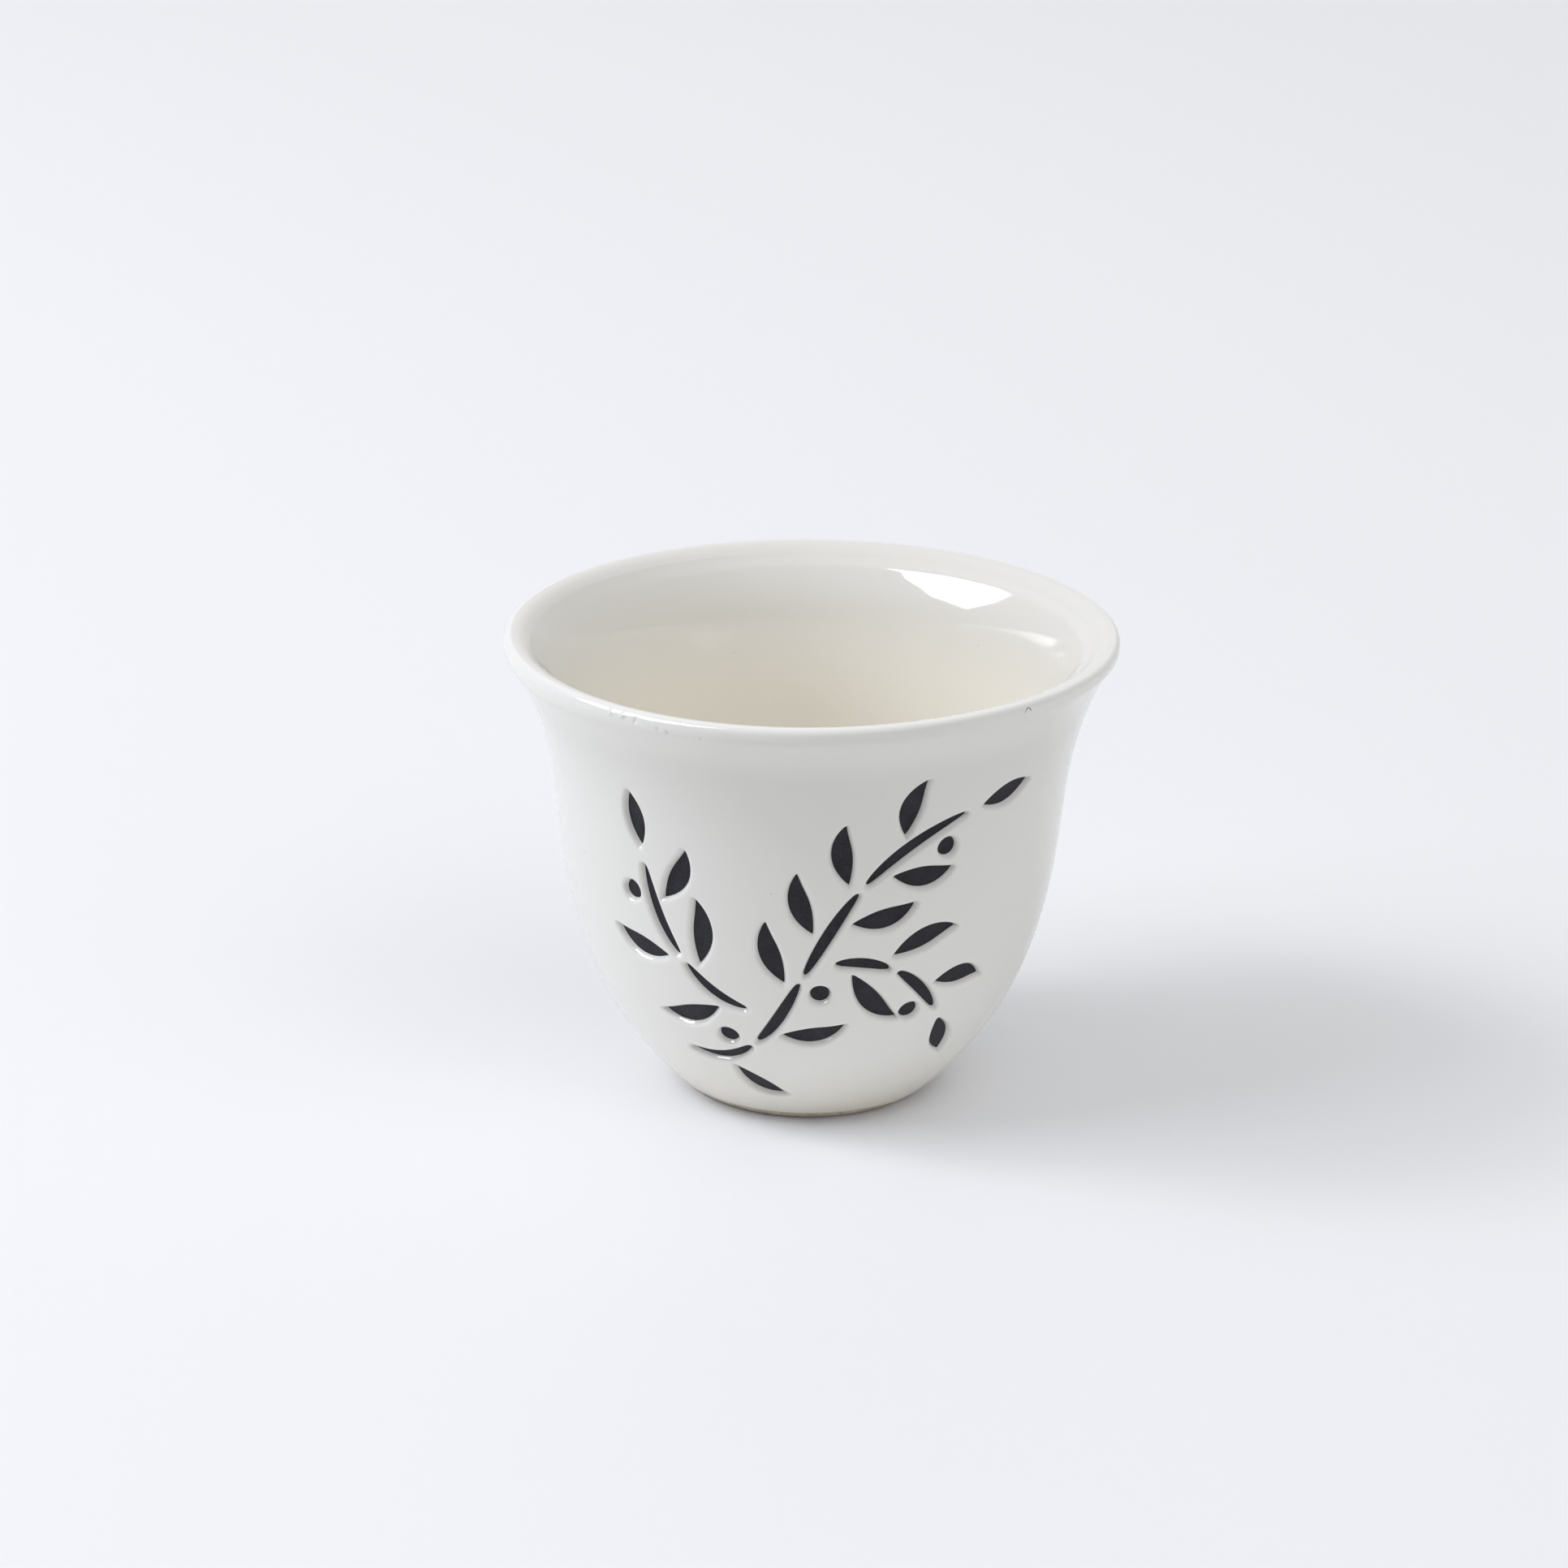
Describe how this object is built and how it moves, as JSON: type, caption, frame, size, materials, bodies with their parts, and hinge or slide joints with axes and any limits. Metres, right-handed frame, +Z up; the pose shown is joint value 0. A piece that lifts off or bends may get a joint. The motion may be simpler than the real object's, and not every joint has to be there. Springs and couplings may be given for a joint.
{
  "type": "coffee cup",
  "caption": "Small handleless coffee cup with a footed round bowl, a flared rounded lip, white glaze and a charcoal leafy sprig engraved on the front.",
  "frame": {"origin": "centre of the foot ring on the table plane, under the middle of the cup", "axes": "+Z up along the cup's axis, -Y towards the viewer through the engraved front, +X to the viewer's right"},
  "size_m": [0.065, 0.065, 0.0509],
  "materials": {
    "fired_clay": "matt, bare fired clay",
    "white_glaze": "gloss",
    "cream_glaze": "gloss",
    "charcoal_inlay": "satin, fine grain"
  },
  "bodies": {
    "root": {"clay_body": "fired_clay", "outer_glaze": "white_glaze", "inner_glaze": "cream_glaze", "foot_glaze": "white_glaze", "main_stem_inlay_1": "charcoal_inlay", "main_stem_inlay_2": "charcoal_inlay", "main_stem_inlay_3": "charcoal_inlay", "main_stem_inlay_4": "charcoal_inlay", "left_stem_inlay_1": "charcoal_inlay", "left_stem_inlay_2": "charcoal_inlay", "right_stem_inlay_1": "charcoal_inlay", "right_stem_inlay_2": "charcoal_inlay", "main_leaf_inlay_1": "charcoal_inlay", "main_leaf_inlay_2": "charcoal_inlay", "main_leaf_inlay_3": "charcoal_inlay", "main_leaf_inlay_4": "charcoal_inlay", "main_leaf_inlay_5": "charcoal_inlay", "main_leaf_inlay_6": "charcoal_inlay", "main_leaf_inlay_7": "charcoal_inlay", "main_leaf_inlay_8": "charcoal_inlay", "main_leaf_inlay_9": "charcoal_inlay", "left_leaf_inlay_1": "charcoal_inlay", "left_leaf_inlay_2": "charcoal_inlay", "left_leaf_inlay_3": "charcoal_inlay", "left_leaf_inlay_4": "charcoal_inlay", "left_leaf_inlay_5": "charcoal_inlay", "right_leaf_inlay_1": "charcoal_inlay", "right_leaf_inlay_2": "charcoal_inlay", "right_leaf_inlay_3": "charcoal_inlay", "right_leaf_inlay_4": "charcoal_inlay", "berry_inlay_1": "charcoal_inlay", "berry_inlay_2": "charcoal_inlay", "berry_inlay_3": "charcoal_inlay", "berry_inlay_4": "charcoal_inlay", "berry_inlay_5": "charcoal_inlay"}
  },
  "joints": []
}
